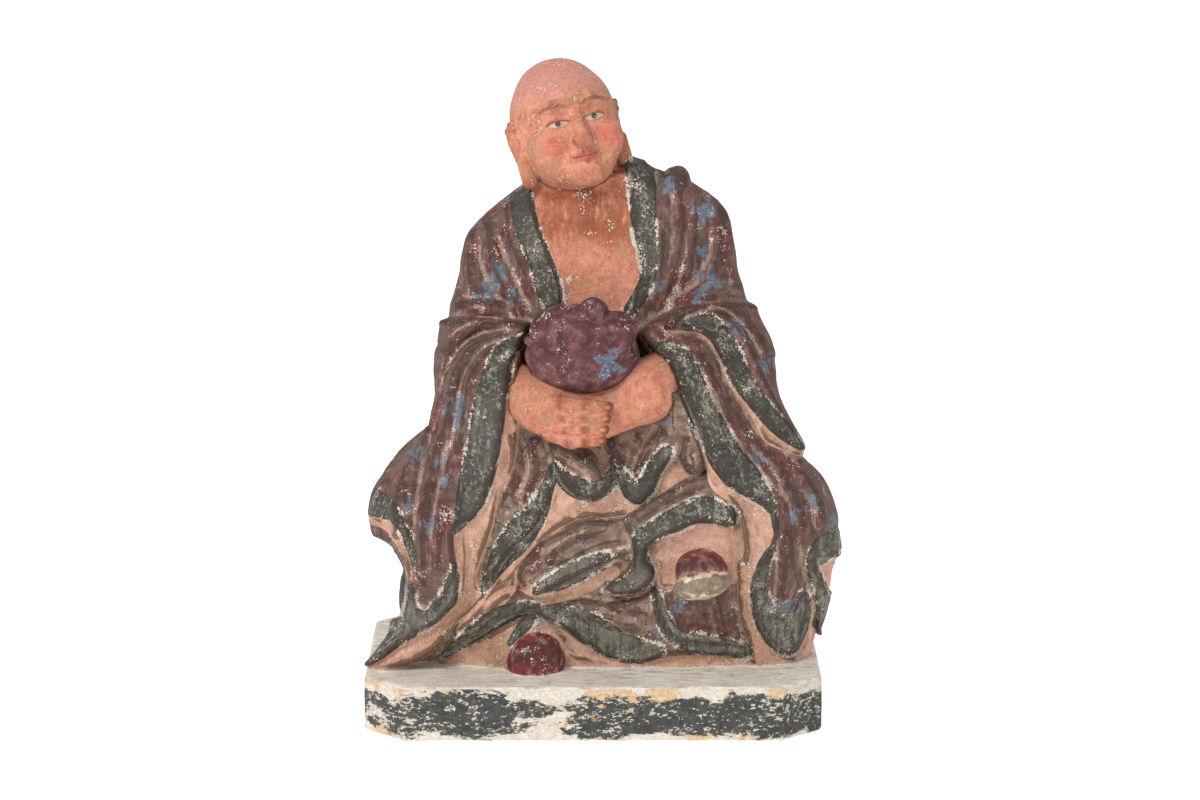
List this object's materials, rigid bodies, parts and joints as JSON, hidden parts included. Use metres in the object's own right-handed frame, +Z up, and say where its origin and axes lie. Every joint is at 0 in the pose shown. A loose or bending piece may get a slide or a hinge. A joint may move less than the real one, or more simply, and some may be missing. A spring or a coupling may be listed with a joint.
{
  "type": "painted pottery luohan figure",
  "caption": "Seated luohan in wide folded robes holding a cloth bundle in the lap, on a low plinth with cut corners, in worn painted pottery.",
  "frame": {"origin": "centre of the plinth's flat underside, which stands on the surface", "axes": "+Z up; the figure faces -Y; +X is to the viewer's right, the figure's left"},
  "size_m": [0.3023, 0.1953, 0.42],
  "materials": {
    "painted_pottery": "matte cold paint over white gesso on low-fired clay, worn and chipped"
  },
  "bodies": {
    "root": {"luohan_figure": "painted_pottery"}
  },
  "joints": []
}
